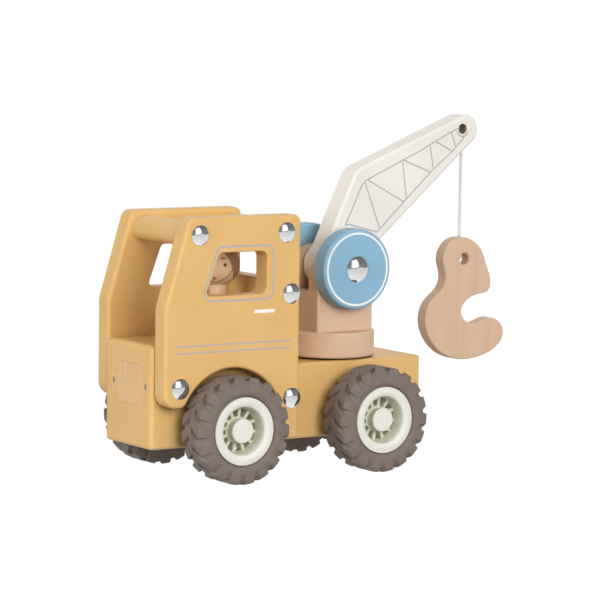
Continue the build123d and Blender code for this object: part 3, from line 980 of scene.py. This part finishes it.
def head_line(points, width, steps=10):
    """A painted stroke on the head, tapered at its ends, along (across, above) points."""
    path = []
    for (a1, b1), (a2, b2) in zip(points, points[1:]):
        for step in range(steps):
            path.append((a1 + (a2 - a1) * step / steps, b1 + (b2 - b1) * step / steps))
    path.append(points[-1])
    rings = []
    for index, (across, above) in enumerate(path):
        here = Vector(on_head(across, above, 0.0))
        ahead = Vector(on_head(*path[min(index + 1, len(path) - 1)], 0.0))
        behind = Vector(on_head(*path[max(index - 1, 0)], 0.0))
        along = (ahead - behind).normalized()
        out = (here - HEAD).normalized()
        beside = along.cross(out).normalized()
        from_end = min(index, len(path) - 1 - index)
        swell = min(1.0, 0.35 + 0.3 * from_end)
        ring = []
        for k in range(8):
            angle = 2 * pi * k / 8
            ring.append(
                tuple(
                    here
                    + beside * (width / 2 * swell * cos(angle) * MM)
                    + out * (STROKE_LIFT * sin(angle) * MM)
                )
            )
        rings.append(ring)
    return swept(rings, False)


# a painted dot's rings: how far each is lifted, and its share of the dot's radius
DOT_RINGS = [(-0.12, 0.7), (0.0, 1.0), (0.08, 0.9), (0.12, 0.5)]


def head_dot(across, above, radius):
    """A painted dot on the head."""
    here = Vector(on_head(across, above, 0.0))
    out = (here - HEAD).normalized()
    beside = out.cross(Vector((0, 0, 1))).normalized()
    over = out.cross(beside)
    rings = []
    for lift, size in DOT_RINGS:
        rings.append(
            [
                tuple(
                    here
                    + out * (lift * MM)
                    + (beside * cos(2 * pi * k / 20) + over * sin(2 * pi * k / 20))
                    * (radius * size * MM)
                )
                for k in range(20)
            ]
        )
    return swept(rings, False)


EYE = (30, 2)
EYE_RADIUS = 1.0
BROW = [(18, 17), (27, 21), (35, 18)]
BROW_WIDTH = 0.65
SMILE = [(-54, -9), (-46, -26), (-30, -42), (-10, -50), (10, -50), (30, -42), (46, -26), (54, -9)]
SMILE_WIDTH = 0.5
face_strokes = [head_dot(side * EYE[0], EYE[1], EYE_RADIUS) for side in (1, -1)]
for side in (1, -1):
    brow = [(side * across, above) for across, above in BROW]
    face_strokes.append(head_line(brow, BROW_WIDTH))
face_strokes.append(head_line(SMILE, SMILE_WIDTH))
face_print = joined("driver_face_paint", face_strokes, line_paint)
smooth(face_print, PAINT_EDGE_ANGLE)
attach(face_print, "truck")
nose = joined("driver_nose_paint", [head_dot(0, -36, 1.1)], red_ink)
smooth(nose, PAINT_EDGE_ANGLE)
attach(nose, "truck")

# ---------------------------------------------------------------- stage, lights and camera

# a white floor that lights nothing itself, so that the world's light is even all round
FLOOR_RADIUS = 1.6
FLOOR_SIDES = 96
floor_shader = Shader("floor", Roughness=0.9, Specular_IOR_Level=0.1)
speckle = floor_shader.noise(floor_shader.place(), 35.0, 3.0)
floor_shader.set(
    "Base Color",
    floor_shader.ramp(speckle, (0.3, linear(40, 40, 40)), (0.7, linear(50, 50, 50))),
)
floor_shader.surface.inputs["Emission Color"].default_value = (1, 1, 1, 1)
floor_shader.surface.inputs["Emission Strength"].default_value = 1.0

floor_edge = [(x, y, 0) for x, y in circle((0, 0), FLOOR_RADIUS, FLOOR_SIDES)]
floor = mesh_object("floor", floor_edge, [tuple(range(FLOOR_SIDES))], floor_shader.material)
floor.visible_diffuse = False
floor.visible_glossy = False
floor.visible_shadow = False

world = bpy.data.worlds.new("studio")
bpy.context.scene.world = world
world.use_nodes = True
tree = world.node_tree
tree.nodes.clear()


def world_node(kind, inputs=None, **settings):
    """Adds a node to the world; an input may be another node's output."""
    made = tree.nodes.new(kind)
    for key, value in settings.items():
        setattr(made, key, value)
    for key, value in (inputs or {}).items():
        if isinstance(value, bpy.types.NodeSocket):
            tree.links.new(value, made.inputs[key])
        else:
            made.inputs[key].default_value = value
    return made


def world_levels(value, low, high, to_low, to_high):
    """Maps low to high onto to_low to to_high, and holds the ends."""
    return world_node(
        "ShaderNodeMapRange",
        {"Value": value, "From Min": low, "From Max": high, "To Min": to_low, "To Max": to_high},
    ).outputs["Result"]


def world_maths(operation, first, second=0.0):
    """A sum, product or other operation on two values."""
    return world_node("ShaderNodeMath", {0: first, 1: second}, operation=operation).outputs["Value"]


# The studio is white to the camera. For the wood it is soft light, mostly from the walls, with
# little from the ceiling and the floor. For gloss it is a dim room with a pale table, a white
# backdrop behind the truck and one bright window.
AMBIENT_BELOW, AMBIENT_ABOVE = 0.20, 1.18
CEILING_SHARE = 0.12
WINDOW_LIGHT = 1.25
BACKDROP_LIGHT = 0.75
where = world_node("ShaderNodeTexCoord").outputs["Generated"]
split = world_node("ShaderNodeSeparateXYZ", {"Vector": where})
height = split.outputs["Z"]
bearing = world_maths("ARCTAN2", split.outputs["Y"], split.outputs["X"])


def between(value, rise, fall):
    """One between two ranges: it rises across the first and falls across the second."""
    rising = world_levels(value, *rise, 0.0, 1.0)
    falling = world_levels(value, *fall, 1.0, 0.0)
    return world_maths("MULTIPLY", rising, falling)


def degrees_range(low, high):
    return radians(low), radians(high)


from_walls = world_levels(height, -0.05, 0.15, AMBIENT_BELOW, AMBIENT_ABOVE)
towards_ceiling = world_levels(height, 0.25, 0.85, 1.0, CEILING_SHARE)
ambient = world_maths("MULTIPLY", from_walls, towards_ceiling)

window = world_maths(
    "MULTIPLY",
    between(bearing, degrees_range(58, 80), degrees_range(112, 118)),
    between(height, (0.06, 0.10), (0.72, 0.85)),
)
backdrop = between(bearing, degrees_range(-172, -160), degrees_range(-80, -60))
dark_room = world_levels(height, 0.0, 0.8, 0.26, 0.16)
room = world_maths("ADD", dark_room, world_maths("MULTIPLY", backdrop, BACKDROP_LIGHT))
room = world_maths("ADD", room, world_maths("MULTIPLY", window, WINDOW_LIGHT))
table_top = world_levels(height, -0.9, -0.02, 1.0, 0.78)
on_table = world_levels(height, -0.01, 0.01, 1.0, 0.0)
room = world_node(
    "ShaderNodeMix", {"Factor": on_table, "A": room, "B": table_top}, data_type="FLOAT"
).outputs[0]
path = world_node("ShaderNodeLightPath")
strength = world_node(
    "ShaderNodeMix",
    {"Factor": path.outputs["Is Glossy Ray"], "A": ambient, "B": room},
    data_type="FLOAT",
).outputs[0]
surround = world_node(
    "ShaderNodeBackground", {"Color": (1.0, 0.995, 0.985, 1), "Strength": strength}
)
seen = world_node("ShaderNodeBackground", {"Color": (1, 1, 1, 1), "Strength": 1.0})
choose = world_node(
    "ShaderNodeMixShader",
    {
        "Fac": path.outputs["Is Camera Ray"],
        1: surround.outputs["Background"],
        2: seen.outputs["Background"],
    },
)
world_node("ShaderNodeOutputWorld", {"Surface": choose.outputs["Shader"]})


def softbox(name, place, aim, size, power):
    """A rectangular light that doesn't show in the gloss; power in watts."""
    data = bpy.data.lights.new(name, "AREA")
    data.shape = "RECTANGLE"
    data.size, data.size_y = size
    data.energy = power
    lamp = bpy.data.objects.new(name, data)
    bpy.context.scene.collection.objects.link(lamp)
    lamp.location = place
    lamp.visible_glossy = False
    lamp.rotation_euler = (Vector(aim) - Vector(place)).to_track_quat("-Z", "Y").to_euler()


MIDDLE = (0.0, 0.0, 0.08)
softbox("front", (1.55, 0.12, 0.30), MIDDLE, (0.6, 0.6), 7.3)
softbox("side", (0.30, 1.60, 0.55), MIDDLE, (0.9, 0.7), 15.0)
softbox("top", (0.0, 0.0, 1.6), (0.0, 0.0, 0.0), (1.2, 1.2), 1.5)
softbox("back", (-1.0, -1.35, 0.9), MIDDLE, (0.9, 0.9), 6.0)

# The camera's direction from the truck: turned from +Y towards +X, and a little up.
CAMERA_YAW = radians(33.80)
CAMERA_PITCH = radians(5.90)
CAMERA_ROLL = radians(0.87)
CAMERA_PLACE = Vector((0.96806, 1.42282, 0.27181))
FOCAL_LENGTH = 179.26
SENSOR_WIDTH = 36.0
back = Vector(
    (
        sin(CAMERA_YAW) * cos(CAMERA_PITCH),
        cos(CAMERA_YAW) * cos(CAMERA_PITCH),
        sin(CAMERA_PITCH),
    )
)
level_right = Vector((-cos(CAMERA_YAW), sin(CAMERA_YAW), 0))
level_up = back.cross(level_right)
right = cos(CAMERA_ROLL) * level_right + sin(CAMERA_ROLL) * level_up
up = -sin(CAMERA_ROLL) * level_right + cos(CAMERA_ROLL) * level_up
lens = bpy.data.cameras.new("camera")
lens.lens = FOCAL_LENGTH
lens.sensor_width = SENSOR_WIDTH
lens.clip_start = 0.05
lens.clip_end = 100.0
camera = bpy.data.objects.new("camera", lens)
bpy.context.scene.collection.objects.link(camera)
turned = Matrix((right, up, back)).transposed().to_4x4()
camera.matrix_world = Matrix.Translation(CAMERA_PLACE) @ turned
bpy.context.scene.camera = camera
bpy.context.scene.view_settings.view_transform = "Standard"
